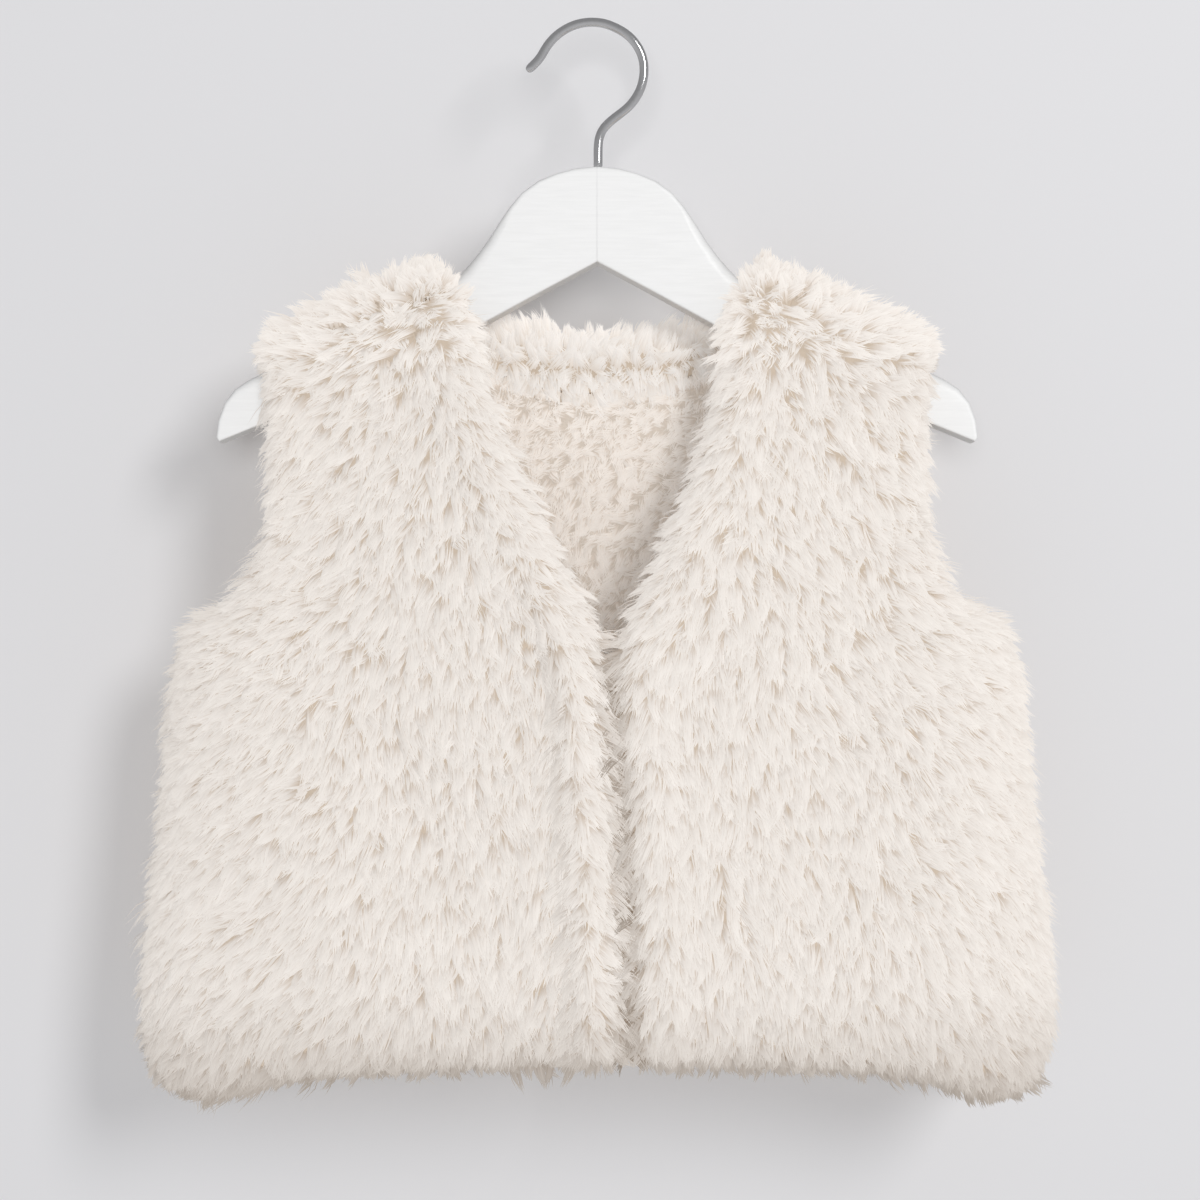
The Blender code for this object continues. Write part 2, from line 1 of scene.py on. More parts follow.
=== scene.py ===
"""The looks of a child's fluffy gilet on a hanger: ivory fur, matted lining, paint and bright wire.

Metres and +Z up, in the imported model's frame. Names that end in _MM hold millimetres, and those that
end in _SPREAD with two values hold the least and the most of a random share.
"""
import math
from dataclasses import dataclass

import bmesh
import bpy
import numpy as np
from mathutils import Matrix, Vector, kdtree
from mathutils.bvhtree import BVHTree


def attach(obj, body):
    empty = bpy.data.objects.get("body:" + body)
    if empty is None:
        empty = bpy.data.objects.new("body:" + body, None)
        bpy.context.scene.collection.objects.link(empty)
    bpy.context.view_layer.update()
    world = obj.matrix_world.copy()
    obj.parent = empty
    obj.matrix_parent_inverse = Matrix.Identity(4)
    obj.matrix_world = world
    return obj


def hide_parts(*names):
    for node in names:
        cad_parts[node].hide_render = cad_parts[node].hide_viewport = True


MM = 0.001
TINY = 1e-12

# Camera, level with the middle of the photograph.
CAMERA_PLACE = (0.00111, -1.0, -0.212)
FIELD_AT_ORIGIN = 0.444
SENSOR_MM = 36.0

# The studio is lighter below, where a pale floor throws light back.
WORLD_COLOUR = (0.80, 0.80, 0.81, 1)
WORLD_BELOW = 0.66
WORLD_ABOVE = 0.38
WORLD_SPAN = 0.5  # of a direction's height, to each side of level

# Lights, all aimed at the middle of the garment.
LIGHT_COLUMNS = ("name", "place", "size", "power", "mirrored")
LIGHTS = (
    ("key", (1.5, -2.4, 0.85), (0.8, 1.3), 31.5, True),
    ("front", (0.0, -2.6, -0.08), (0.9, 0.9), 20.0, False),
    ("back", (-1.0, 2.4, 0.4), (1.2, 1.2), 24.0, False),
)
LIGHT_AIM = (0.0, 0.0, -0.22)

# Wall behind the hanger.
WALL_Y = 0.047
WALL_SIZE = 8.0
WALL_COLOUR = (0.768, 0.766, 0.78, 1)

# Colours of strands, from root to tip, and of the cloth under them. The deeper beige of the roots and
# of the cloth is partly their own colour and partly painted shade deep in the fur, which casts no
# shadows of its own.
STRAND_COLOURS = {
    "ivory_fur_strands": ((0.61, 0.505, 0.405), (0.845, 0.785, 0.73), (0.93, 0.885, 0.835)),
    # A lighter copy of the ivory fur for the neck band: painted light where cloth shades it.
    "ivory_fur_strands_with_painted_light": ((0.85, 0.77, 0.69), (0.95, 0.895, 0.84), (0.98, 0.945, 0.91)),
    "beige_pile_strands": ((0.70, 0.595, 0.50), (0.95, 0.875, 0.805), (0.98, 0.925, 0.87)),
}
MIDDLE_FULL = 0.45  # of a strand's length
TIP_FROM = 0.35
TIP_FULL = 0.95
IVORY_BACKING_AND_SHADE = (0.66, 0.55, 0.44)
BEIGE_BACKING_AND_SHADE = (0.78, 0.69, 0.60)

# Pieces of the coat, and the side of the garment that each is on.
COAT_NODES = ("front_right", "front_left", "front_right_band", "front_left_band", "back",
              "back_neck_band")
FRONT_NODES = COAT_NODES[:4]
PILED_NODES = COAT_NODES[:5]  # those with pile on their insides
SEAM_REACH = 0.6 * MM  # a face this close to another piece is inside a seam
SEAM_WELD = 0.45 * MM
POINT_WELD = 0.01 * MM

# The hollow inside the garment, which tells the outside of a wall from its inside.
HOLLOW_HALF_X = 0.105
HOLLOW_TOP_Z = -0.150
HOLLOW_FOOT_Z = -0.352
INSIDE_BELOW = -0.35
OUTSIDE_SPAN = 0.5

# Nap: how far the fur leans from straight down, in degrees, outwards from the garment's middle.
NAP_COLUMNS = ("away_mm", "height_mm", "reach_mm", "front", "back")
NAP = (
    (61, -89, 12, 180, 172),
    (84, -98, 12, 140, 140),
    (110, -108, 12, 112, 112),
    (124, -118, 12, 92, 95),
    (94, -119, 12, 62, 60),
    (76, -119, 12, 14, 20),
    (58, -113, 10, -24, 10),
    (46, -118, 12, -55, 15),
    (78, -133, 14, 18, 25),
    (55, -133, 14, -25, 15),
    (44, -134, 12, -58, 10),
    (114, -139, 14, 50, 52),
    (121, -152, 14, 60, 58),
    (101, -146, 16, 32, 34),
    (81, -153, 16, 14, 20),
    (61, -153, 16, 0, 10),
    (47, -153, 14, -30, 6),
    (116, -168, 18, 60, 58),
    (38, -168, 16, -46, 5),
    (74, -178, 22, 8, 15),
    (112, -200, 20, 55, 50),
    (20, -205, 18, -44, 2),
    (60, -215, 24, -4, 12),
    (98, -222, 24, 34, 36),
    (140, -238, 24, 62, 58),
    (10, -250, 20, -14, 0),
    (52, -262, 26, -2, 10),
    (100, -275, 26, 24, 26),
    (146, -285, 26, 50, 48),
    (12, -330, 26, -4, 0),
    (56, -335, 26, 4, 8),
    (102, -340, 26, 22, 22),
    (152, -345, 26, 42, 40),
    (20, -380, 26, 0, 0),
    (100, -385, 26, 14, 14),
    (155, -388, 26, 30, 30),
)
NAP_FLOOR = 1e-9  # weight of a row far away, so that no place is without nap
NAP_DRIFT = 9.0  # degrees of slow change over the cloth
NAP_DRIFT_LENGTH = 46.0 * MM
DRIFT_SPREAD = (0.6, 1.4)
FALL_OFF = {"front_right_band": 1.1, "front_left_band": 0.25}  # fur falls to both sides of a roll
FALL_OFF_FROM_Z = -0.205  # the rolls begin under the neck's opening
FALL_OFF_FULL_Z = -0.255
WHORL_LIFT = 24.0  # degrees more where the nap turns about
WHORL_SPREAD = 95.0

# Fur, one row for each piece of the coat. Standing is how far the tips pass the solid.
FUR_COLUMNS = ("node", "spacing_mm", "strands", "length_mm", "standing_mm", "breadth_mm")
FUR = (
    ("front_right", 2.5, 14, 15.0, 2.0, 0.62),
    ("front_left", 2.5, 14, 15.0, 2.0, 0.62),
    ("front_right_band", 2.4, 15, 13.0, 2.4, 0.56),
    ("front_left_band", 2.4, 15, 13.5, 2.4, 0.56),
    ("back", 3.5, 13, 18.0, 2.2, 0.88),
    ("back_neck_band", 2.2, 18, 14.0, 4.5, 0.50),
)
FUR_DEPTH = 4.0 * MM  # from the solid's outside down to the roots
FUR_LIFT = 21.0  # degrees
FUR_LIFT_SPREAD = 9.0
FUR_LEAN_SPREAD = 9.0
LENGTH_SPREAD = 0.16
STANDING_SPREAD = (0.25, 1.5)
STEEP_LIFT = 0.8  # how far fur stands up where its nap runs straight out of the cloth
TRIM_LEAST = 0.35  # of a lock's length
TRIM_STEPS = 8
SHOULDER_STANDING = 3.2 * MM
SHOULDER_SPREAD = (0.2, 2.1)
SHOULDER_LIFT = 9.0
SHOULDER_SHADING = (0.5, 1.0, 0.5)
SHOULDER_FROM_Z = -0.122
PEAK_FROM_Z = -0.094  # the fur is shorter on the highest part, beside the hanger
PEAK_SHARE = 0.48
EDGE_STANDING = 4.0 * MM  # more where the coat turns out of sight
EDGE_SPREAD = (0.0, 1.3)
EDGE_LIFT = 16.0

# Locks, and the strands that make them up.
LOCK_RADIUS_SHARE = 0.93  # of the spacing
LOCK_GATHER = 0.86  # how far the strands close in at the tip
LOCK_GATHER_SPREAD = (0.85, 1.0)
LOCK_GATHER_POWER = 1.2
LOCK_BEND = 1.6 * MM
LOCK_BULGE = 0.34  # of its radius
LOCK_RISE = 0.5  # how much of the rise comes early
LOCK_ROUND = 0.30  # how far the shading turns over a lock
TIPS_TURN = 1.4
TIP_APART = 0.30  # of its radius
SIDE_SHORTER = 0.30  # how much shorter a lock is at its sides
REACH_SHORTER = 0.20
STRAND_LEVELS = (0.0, 0.52, 1.0)
STRAND_TAPER = (1.0, 0.9)
STRAND_BEND = 0.3  # of the lock's
STRAND_BREADTH_SPREAD = (0.8, 1.2)
STRAND_ROLL = 15.0
STRAND_FACING = 0.12  # share of a strand's own facing in its shading
STRAND_ROUND = 0.18

# Wisps, the strands that part from their lock.
WISP_SHARE = 0.15
WISP_REACH_SPREAD = (0.85, 1.12)
WISP_GATHER = 0.25
WISP_BEND = 1.5
WISP_LIFT_SPREAD = (0.0, 0.30)  # radians
WISP_BREADTH = 0.55

# Shading of the fur, which passes light on.
CLOTH_SHADING = 0.38  # share of the cloth's own normal in a lock's shading
SHOWN = (0.4, 1.0, 0.4)  # how far each part of it tells the side that a strand shows
LEAST_FACING = 0.2
BIAS_FROM = 0.55  # how far a normal points back before its fur is shaded from behind
BIAS_TURN = 0.25

# The neck band's inside, where fur runs up above a parting and falls over the lining below it.
NECK_INSIDE_NORMAL = 0.3
NECK_PARTING_Z = -0.126
NECK_PARTING_RISE = 0.009
NECK_HALF_X = 0.057
NECK_PARTING_SPAN = 5.0 * MM
NECK_PARTING_LIFT = 20.0
NECK_PARTING_SPREAD = 1.6
NECK_UPRIGHT = 0.4
NECK_STANDING = 6.0 * MM
NECK_STANDING_SPREAD = (0.3, 1.5)
NECK_FALL_LIFT = 18.0
NECK_FALL_SIDEWAYS = 0.5
NECK_FALL_STANDING = 11.0 * MM
NECK_FALL_SHARE = 0.65
NECK_FALL_SPREAD = (0.5, 1.3)
NECK_DRIFT = 0.5
NECK_INSIDE_DEPTH = 1.5 * MM
NECK_SHADING = 0.25

# Tones, from 0 in the shade to 1 in the light, hold painted shade and light: the fur is darker where
# cloth closes in on it, towards the hem and on its underside, and lighter on the shoulders.
SHADE = (0.36, 0.31, 0.26)
LIGHT = (1.08, 1.08, 1.08)
TONE_LIMITS = (0.02, 0.98)
OPEN_TONE = 0.88
CLOSED_PAINTED_SHADE = 1.45
CLOSED_FROM = 0.86  # cloth more open than this is in full light
CLOSED_LIFT = 22.0
SHOULDER_PAINTED_LIGHT = 0.08
LOCK_TONE = 0.025
STRAND_TONE = 0.02
TONE_WIDTH = 0.006
HEM_PAINTED_SHADE = 0.33
HEM_FROM_Z = -0.345
HEM_SPAN = 0.045
UNDER_PAINTED_SHADE = 0.30
OPEN_WAYS = 14
OPEN_START = 2.0 * MM
OPEN_REACH = 24.0 * MM
OPEN_LOWEST = 0.15
OPEN_ASIDE = (0.31, 0.17, 0.93)

# Pile on the insides of the walls and on the lining.
PILE_COLUMNS = FUR_COLUMNS[1:]
INSIDE_PILE = dict(zip(PILE_COLUMNS, (4.6, 9, 9.0, 0.8, 0.8)))
LINING_PILE = dict(zip(PILE_COLUMNS, (2.0, 12, 8.5, 1.6, 0.5)))
PILE_DEPTH = 1.4 * MM
PILE_LIFT = 22.0
PILE_LEAN_SPREAD = 34.0
COVERED_REACH = 0.009  # the lining covers a wall this close behind it
LINING_FACE_NORMAL = 0.2
LINING_LEAN = -38.0  # the lining's nap runs down to the viewer's left
LINING_DRIFT = 30.0
LINING_DRIFT_LENGTH = 35.0 * MM
LINING_STANDING_SPREAD = (0.3, 1.4)
LINING_TOP_Z = -0.134  # above this it stands up to the neck band
LINING_TOP_LEAN = 180.0
LINING_TOP_STANDING = 5.0 * MM
LINING_SHOWN_X = 0.080  # the part that the neck shows
LINING_SHOWN_Z = -0.262
LINING_HIDDEN_SHARE = 0.45

# Cloth under the fur: how far it is drawn in.
CLOTH_DEPTH = 3.5 * MM
CLOTH_INSIDE_DEPTH = 1.0 * MM

# Hanger.
HANGER_NODES = ("hanger_arm_right", "hanger_arm_left", "hanger_hook")
SMOOTH_ANGLE = 50.0
JOINT_HALF = 0.2 * MM
JOINT_CLOSED = 0.35
WIRE_FACE_ANGLE = 50.0
WIRE_SHAPE_ANGLE = 60.0
WIRE_ROUNDING = 2

# Random draws.
FUR_SEED = 20
INSIDE_SEED = 120
LINING_SEED = 220


@dataclass
class Surface:
    """A welded surface: points, their normals, how open each lies, triangles and their pieces."""

    points: np.ndarray
    normals: np.ndarray
    clear: np.ndarray
    faces: np.ndarray
    pieces: np.ndarray
    tree: BVHTree


@dataclass
class Locks:
    """Locks of fur: where each grows, the cloth's normal, nap, length, lift, shading, and tone with
    painted shade and light.
    """

    roots: np.ndarray
    normals: np.ndarray
    nap: np.ndarray
    length: np.ndarray
    lift: np.ndarray
    shading: np.ndarray
    tone: np.ndarray


@dataclass
class Strands:
    """Strands of fur: points from root to tip, the way each is wide, its shading, its tone with painted
    shade and light, and its breadth.
    """

    lines: np.ndarray
    widths: np.ndarray
    shading: np.ndarray
    tones_and_shade: np.ndarray
    breadth: np.ndarray


def unit(vectors):
    return vectors / np.maximum(np.linalg.norm(vectors, axis=-1, keepdims=True), TINY)


def linked(name, data):
    """A new object of the scene with some data."""
    thing = bpy.data.objects.new(name, data)
    bpy.context.scene.collection.objects.link(thing)
    return thing


def triangles_of(node):
    """Corner points of a CAD node's triangles."""
    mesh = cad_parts[node].data
    mesh.calc_loop_triangles()
    places = np.empty(len(mesh.vertices) * 3)
    mesh.vertices.foreach_get("co", places)
    corners = np.empty(len(mesh.loop_triangles) * 3, dtype=np.int32)
    mesh.loop_triangles.foreach_get("vertices", corners)
    return places.reshape(-1, 3)[corners].reshape(-1, 3, 3)


def tree_of(triangles):
    points = [Vector(point) for point in triangles.reshape(-1, 3)]
    return BVHTree.FromPolygons(points, np.arange(len(points)).reshape(-1, 3).tolist())


def near_of(points):
    """A tree that finds the points near a place."""
    near = kdtree.KDTree(len(points))
    for index, point in enumerate(points):
        near.insert(point, index)
    near.balance()
    return near


def free_triangles(groups):
    """The triangles of each piece without those that face another piece across a seam."""
    trees = [tree_of(triangles) for triangles in groups]
    kept = []
    for number, triangles in enumerate(groups):
        middles = triangles.mean(axis=1)
        normals = unit(np.cross(triangles[:, 1] - triangles[:, 0], triangles[:, 2] - triangles[:, 0]))
        others = trees[:number] + trees[number + 1:]
        hidden = np.array([
            any(tree.ray_cast(Vector(middle), Vector(normal), SEAM_REACH)[0] for tree in others)
            for middle, normal in zip(middles, normals)])
        kept.append(triangles[~hidden])
    return kept


def openness(points, normals, tree):
    """The share of the ways out of the cloth that no other cloth closes nearby."""
    steps = (np.arange(OPEN_WAYS) + 0.5) / OPEN_WAYS
    heights = OPEN_LOWEST + (1 - OPEN_LOWEST) * steps
    turns = steps * OPEN_WAYS * math.pi * (3 - math.sqrt(5))  # by the golden angle
    across = unit(np.cross(normals, OPEN_ASIDE))
    along = np.cross(normals, across)
    starts = [Vector(start) for start in points + normals * OPEN_START]
    clear = np.zeros(len(points))
    for height, turn in zip(heights, turns):
        aside = across * math.cos(turn) + along * math.sin(turn)
        ways = normals * height + aside * math.sqrt(1 - height**2)
        clear += [tree.ray_cast(start, Vector(way), OPEN_REACH)[0] is None
                  for start, way in zip(starts, ways)]
    return clear / OPEN_WAYS


def welded(groups):
    """One surface from the triangles of several pieces, joined over their seams."""
    mesh = bmesh.new()
    layer = mesh.faces.layers.int.new("piece")
    for number, triangles in enumerate(groups):
        for triangle in triangles:
            face = mesh.faces.new([mesh.verts.new(point) for point in triangle])
            face[layer] = number
    bmesh.ops.remove_doubles(mesh, verts=mesh.verts, dist=SEAM_WELD)
    mesh.normal_update()
    mesh.verts.index_update()
    points = np.array([vertex.co for vertex in mesh.verts])
    normals = unit(np.array([vertex.normal for vertex in mesh.verts]))
    faces = np.array([[vertex.index for vertex in face.verts] for face in mesh.faces])
    pieces = np.array([face[layer] for face in mesh.faces])
    tree = BVHTree.FromBMesh(mesh)
    mesh.free()
    return Surface(points, normals, openness(points, normals, tree), faces, pieces, tree)


def outwardness(points, normals):
    """1 on the outside of the garment's walls, -1 on their insides, about 0 round their edges."""
    middle = np.stack([np.clip(points[:, 0], -HOLLOW_HALF_X, HOLLOW_HALF_X),
                       np.zeros(len(points)),
                       np.clip(points[:, 2], HOLLOW_FOOT_Z, HOLLOW_TOP_Z)], axis=1)
    return np.einsum("ij,ij->i", unit(points - middle), normals)


def scattered(surface, piece, spacing, rng, crowd=5.0):
    """Places on one piece of a surface, no closer together than the spacing, and their normals."""
    faces = surface.faces[surface.pieces == piece]
    corners = surface.points[faces]
    across = np.cross(corners[:, 1] - corners[:, 0], corners[:, 2] - corners[:, 0])
    areas = np.linalg.norm(across, axis=1)
    count = int(areas.sum() / 2 / spacing**2 * crowd)
    chosen = rng.choice(len(faces), count, p=areas / areas.sum())
    far, along = np.sqrt(rng.random(count)), rng.random(count)
    shares = np.stack([1 - far, far * (1 - along), far * along], axis=1)
    points = np.einsum("ij,ijk->ik", shares, corners[chosen])
    normals = unit(np.einsum("ij,ijk->ik", shares, surface.normals[faces[chosen]]))
    near = near_of(points)
    kept = np.ones(count, bool)
    for index in range(count):
        if kept[index]:
            close = [other for _, other, _ in near.find_range(points[index], spacing)]
            kept[close] = False
            kept[index] = True
    return points[kept], normals[kept]


def drift(points, length, rng, waves=6):
    """A slow change over the cloth, between about -1 and 1."""
    total = np.zeros(len(points))
    for _ in range(waves):
        direction = unit(rng.normal(size=3)) * 2 * math.pi / length * rng.uniform(*DRIFT_SPREAD)
        total += np.sin(points @ direction + rng.uniform(0, 2 * math.pi))
    return total / math.sqrt(waves)


def leaning(side, lean):
    """Directions that lean from straight down, towards one side of the garment."""
    angle = np.radians(lean)
    return np.stack([np.sin(angle) * side, np.zeros(len(angle)), -np.cos(angle)], axis=1)


def sides_of(node, points):
    """-1 on the wearer's right and 1 on the left. A front keeps its side where it passes the middle."""
    if node in FRONT_NODES:
        return np.full(len(points), -1.0 if node.startswith("front_right") else 1.0)
    return np.sign(points[:, 0])


def turned_aside(normals):
    """0 where the cloth faces the front or the back, and up to 1 where it turns out of sight."""
    return (1 - np.abs(normals[:, 1])) ** 2


def coat_nap(node, points, normals, rng):
    """The way the fur of one piece lies, before it is laid on the cloth, and how far it stands up."""
    table = np.array(NAP, float)
    away, height, reach = table[:, 0] * MM, table[:, 1] * MM, table[:, 2] * MM
    lean = np.radians(table[:, NAP_COLUMNS.index("front" if node in FRONT_NODES else "back")])
    side = sides_of(node, points)
    far = ((points[:, 0] * side)[:, None] - away) ** 2 + (points[:, 2][:, None] - height) ** 2
    weight = np.exp(-far / (2 * reach**2)) + NAP_FLOOR
    weight /= weight.sum(axis=1, keepdims=True)
    outwards, down = weight @ np.sin(lean), weight @ np.cos(lean)
    whorl = 1 - np.hypot(outwards, down)
    slow = NAP_DRIFT * drift(points, NAP_DRIFT_LENGTH, rng)
    spread = (FUR_LEAN_SPREAD + WHORL_SPREAD * whorl) * rng.normal(size=len(points))
    nap = leaning(side, np.degrees(np.arctan2(outwards, down)) + slow + spread)
    rolled = (FALL_OFF_FROM_Z - points[:, 2]) / (FALL_OFF_FROM_Z - FALL_OFF_FULL_Z)
    nap[:, 0] += FALL_OFF.get(node, 0.0) * np.clip(rolled, 0, 1) * normals[:, 0]
    return nap, FUR_LIFT + WHORL_LIFT * whorl + EDGE_LIFT * turned_aside(normals)


def above_parting(points):
    return points[:, 2] - NECK_PARTING_Z - NECK_PARTING_RISE * (points[:, 0] / NECK_HALF_X) ** 2


def part_neck(points, normals, nap, lift, rng):
    """On the neck band's inside the fur above a parting runs up, and the rest falls over the lining."""
    inside = normals[:, 1] < NECK_INSIDE_NORMAL
    above = above_parting(points)
    upright = np.abs(nap[:, 2]) + NECK_UPRIGHT
    nap[inside, 2] = np.where(above > 0, upright, -upright)[inside]
    falling = inside & (above <= 0)
    nap[inside, 0] += NECK_DRIFT * drift(points[inside], LINING_DRIFT_LENGTH, rng)
    nap[falling, 0] += rng.normal(0, NECK_FALL_SIDEWAYS, falling.sum())
    lift[falling] += NECK_FALL_LIFT
    parting = np.exp(-(above / NECK_PARTING_SPAN) ** 2) * inside
    nap[:, 0] += NECK_PARTING_SPREAD * parting * rng.normal(size=len(points))
    lift += NECK_PARTING_LIFT * parting
    return inside, falling


def laid(nap, normals):
    """Directions brought down onto the cloth. Where one runs straight out of it, none is left."""
    return nap - normals * np.einsum("ij,ij->i", nap, normals)[:, None]


def trimmed(locks, standing, tree):
    """Shortens each lock where its tip would stand too far outside the solid."""
    shares = np.linspace(TRIM_LEAST, 1.0, TRIM_STEPS)
    best = np.full(len(locks.roots), shares[0])
    ahead = unit(locks.nap) * np.cos(locks.lift)[:, None] + locks.normals * np.sin(locks.lift)[:, None]
    for index, (root, way, length) in enumerate(zip(locks.roots, ahead, locks.length)):
        for share in shares[1:]:
            tip = Vector(root + way * length * share)
            near, normal, _, _ = tree.find_nearest(tip)
            if (tip - near).dot(normal) > standing[index]:
                break
            best[index] = share
    locks.length *= best


def front_bias(normals, in_front):
    """Fur passes light on, so edges stay bright: shading that leans out from the front or the back."""
    bias = np.full(len(normals), -1.0)
    if not in_front:
        bias = np.clip((normals[:, 1] - BIAS_FROM) / BIAS_TURN, -1, 1)
    shading = normals * CLOTH_SHADING
    shading[:, 1] = np.where(shading[:, 1] * bias > 0, shading[:, 1], 0.0) + bias * (1 - CLOTH_SHADING)
    return shading


def grow(points, normals, nap, row, depth, lift, rng, tree, standing, shading, share=1.0,
         tone=OPEN_TONE):
    """Locks on some places of the cloth, from a row of sizes."""
    flat = laid(nap, normals)
    steep = 1 - np.clip(np.linalg.norm(flat, axis=1) / np.linalg.norm(nap, axis=1), 0, 1)
    count = len(points)
    raised = np.radians(lift + rng.normal(0, FUR_LIFT_SPREAD, count))
    raised = raised + (math.pi / 2 - raised) * steep * STEEP_LIFT
    length = row["length_mm"] * MM * share * (1 + rng.normal(0, LENGTH_SPREAD, count))
    tone = tone + rng.normal(0, LOCK_TONE, count)
    locks = Locks(points - normals * depth, normals, unit(flat), length, raised, shading, tone)
    trimmed(locks, standing, tree)
    return locks


def strands_of(locks, row, rng):
    """Every lock's strands: they lie side by side over a rounded form and close in to a few tips."""
    each = row["strands"]
    radius = row["spacing_mm"] * MM * LOCK_RADIUS_SHARE
    size = (len(locks.roots), each)
    sideways = unit(np.cross(locks.normals, locks.nap))
    slot = (np.arange(each) + rng.random(size)) / each * 2 - 1
    along = rng.uniform(-1, 1, size) * np.sqrt(1 - slot**2) * radius
    ends = np.round(slot * TIPS_TURN) * TIP_APART * radius
    wisp = rng.random(size) < WISP_SHARE
    reach = 1 - SIDE_SHORTER * slot**2 - rng.uniform(0, REACH_SHORTER, size)
    reach = np.where(wisp, rng.uniform(*WISP_REACH_SPREAD, size), reach)
    gather = np.where(wisp, WISP_GATHER, LOCK_GATHER * rng.uniform(*LOCK_GATHER_SPREAD, size))
    bend = rng.normal(0, LOCK_BEND, (size[0], 1)) + rng.normal(0, STRAND_BEND * LOCK_BEND, size)
    bend = np.where(wisp, bend * WISP_BEND, bend)
    raised = locks.lift[:, None] + np.where(wisp, rng.uniform(*WISP_LIFT_SPREAD, size), 0.0)
    run = locks.length[:, None] * np.cos(raised)
    rise = locks.length[:, None] * np.sin(raised)
    bulge = LOCK_BULGE * radius * (1 - slot**2)
    lines = []
    for level in STRAND_LEVELS:
        share = level * reach
        closing = gather * share**LOCK_GATHER_POWER
        nap_part = along * (1 - closing) + run * share
        side_part = slot * radius * (1 - closing) + ends * closing + bend * share**2
        up_part = rise * ((1 + LOCK_RISE) * share - LOCK_RISE * share**2)
        up_part = up_part + bulge * 4 * share * (1 - share)
        lines.append(locks.roots[:, None] + locks.nap[:, None] * nap_part[..., None]
                     + sideways[:, None] * side_part[..., None]
                     + locks.normals[:, None] * up_part[..., None])
    lines = np.stack(lines, axis=2).reshape(-1, len(STRAND_LEVELS), 3)
    shading = np.repeat(locks.shading, each, axis=0)
    ahead = unit(lines[:, -1] - lines[:, 0])
    flat = unit(np.cross(ahead, shading))
    roll = np.radians(rng.uniform(-STRAND_ROLL, STRAND_ROLL, len(lines)))[:, None]
    facing = unit(np.cross(flat * np.cos(roll) + np.cross(flat, ahead) * np.sin(roll), ahead))
    facing *= np.where((facing * shading) @ SHOWN < 0, -1.0, 1.0)[:, None]
    shading += np.repeat(sideways, each, axis=0) * slot.reshape(-1, 1) * LOCK_ROUND
    short = np.maximum(LEAST_FACING - np.einsum("ij,ij->i", facing, shading), 0.0)[:, None]
    tone = np.repeat(locks.tone, each) + rng.normal(0, STRAND_TONE, len(lines))
    breadth = np.where(wisp, WISP_BREADTH, rng.uniform(*STRAND_BREADTH_SPREAD, size))
    breadth = row["breadth_mm"] * MM * breadth
    return Strands(lines, np.cross(ahead, facing), unit(shading + facing * (STRAND_FACING + short)),
                   np.clip(tone, *TONE_LIMITS), breadth.ravel())


def ribbons(name, strands, material):
    """One mesh of narrow tapering ribbons, one for each strand, mapped from root to tip."""
    count = len(strands.lines)
    ranks = len(STRAND_TAPER)
    half = strands.widths[:, None] * (strands.breadth[:, None] * np.array(STRAND_TAPER) / 2)[..., None]
    left, right = strands.lines[:, :ranks] - half, strands.lines[:, :ranks] + half
    places = np.concatenate([left, right, strands.lines[:, -1:]], axis=1)
    per_strand = 2 * ranks + 1
    quads = [(rank, ranks + rank, ranks + rank + 1, rank + 1) for rank in range(ranks - 1)]
    tip = (ranks - 1, 2 * ranks - 1, 2 * ranks)
    pattern = np.array([corner for quad in quads for corner in quad] + list(tip))
    corners = (np.arange(count)[:, None] * per_strand + pattern).ravel()
    sizes = np.tile(np.array([4] * len(quads) + [3]), count)
    starts = np.concatenate([[0], np.cumsum(sizes)[:-1]])
    mesh = bpy.data.meshes.new(name)
    mesh.vertices.add(count * per_strand)
    mesh.vertices.foreach_set("co", places.astype(np.float32).ravel())
    mesh.loops.add(len(corners))
    mesh.loops.foreach_set("vertex_index", corners.astype(np.int32))
    mesh.polygons.add(len(sizes))
    mesh.polygons.foreach_set("loop_start", starts.astype(np.int32))
    shares = np.array(STRAND_LEVELS[:ranks] * 2 + STRAND_LEVELS[-1:])
    sides = np.array([-1.0] * ranks + [1.0] * ranks + [0.0])
    across = strands.tones_and_shade[:, None] + sides * TONE_WIDTH / 2
    mapped = np.stack([across, np.broadcast_to(shares, across.shape)], axis=2)
    layer = mesh.uv_layers.new(name="OFBake")
    layer.data.foreach_set("uv", mapped[:, pattern].astype(np.float32).ravel())
    mesh.update(calc_edges=True)
    mesh.shade_smooth()
    soft = unit(strands.shading[:, None] + sides[:, None] * strands.widths[:, None] * STRAND_ROUND)
    mesh.normals_split_custom_set_from_vertices(soft.reshape(-1, 3).astype(np.float32))
    mesh.materials.append(material)
    piece = linked(name, mesh)
    piece.visible_shadow = False  # fine fur passes light on: the cloth under it casts the shadows
    piece.visible_diffuse = False
    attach(piece, "root")
    return piece


